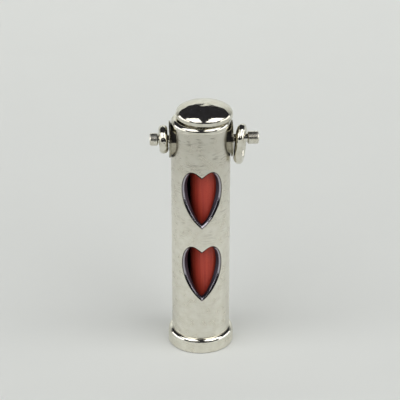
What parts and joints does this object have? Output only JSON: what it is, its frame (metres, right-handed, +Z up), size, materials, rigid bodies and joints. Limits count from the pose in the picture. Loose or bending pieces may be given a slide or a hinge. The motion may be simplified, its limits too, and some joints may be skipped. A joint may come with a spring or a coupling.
{
  "type": "mezuzah case",
  "caption": "Round silver mezuzah case with red-backed heart windows, a domed lift-off lid and a link hanging at each side.",
  "frame": {"origin": "centre of the foot's underside", "axes": "+Z up the tube towards the lid, -Y the side with the heart windows, +X along the posts to the right seen from that side"},
  "size_m": [0.0311, 0.0192, 0.0768],
  "materials": {
    "satin_silver": "satin silver plate with fine scratches",
    "polished_silver": "polished silver plate",
    "dark_brass": "tarnished",
    "red_liner": "dull red",
    "parchment": "rolled parchment, blank"
  },
  "bodies": {
    "case": {"case_tube": "satin_silver", "mouth_ring": "polished_silver", "foot_ring": "satin_silver", "base_plate": "satin_silver", "window_liner": "red_liner", "parchment_scroll": "parchment", "left_collar": "dark_brass", "right_collar": "dark_brass", "left_washer": "polished_silver", "right_washer": "polished_silver", "left_post": "polished_silver", "right_post": "polished_silver", "left_post_head": "polished_silver", "right_post_head": "polished_silver", "left_inner_nut": "dark_brass", "right_inner_nut": "dark_brass"},
    "lid": {"lid_dome": "polished_silver", "lid_plug": "polished_silver"},
    "left_link": {"left_link": "polished_silver"},
    "right_link": {"right_link": "polished_silver"}
  },
  "joints": [
    {"name": "lid_lift", "type": "slide", "parent": "case", "child": "lid", "axis": [0, 0, 1], "range_m": [0, 0.02]},
    {"name": "left_link_swing", "type": "hinge", "parent": "case", "child": "left_link", "pos_m": [-0.01063, 0, 0.06579], "axis": [1, 0, 0], "continuous": true},
    {"name": "right_link_swing", "type": "hinge", "parent": "case", "child": "right_link", "pos_m": [0.01143, 0, 0.06579], "axis": [1, 0, 0], "continuous": true}
  ]
}
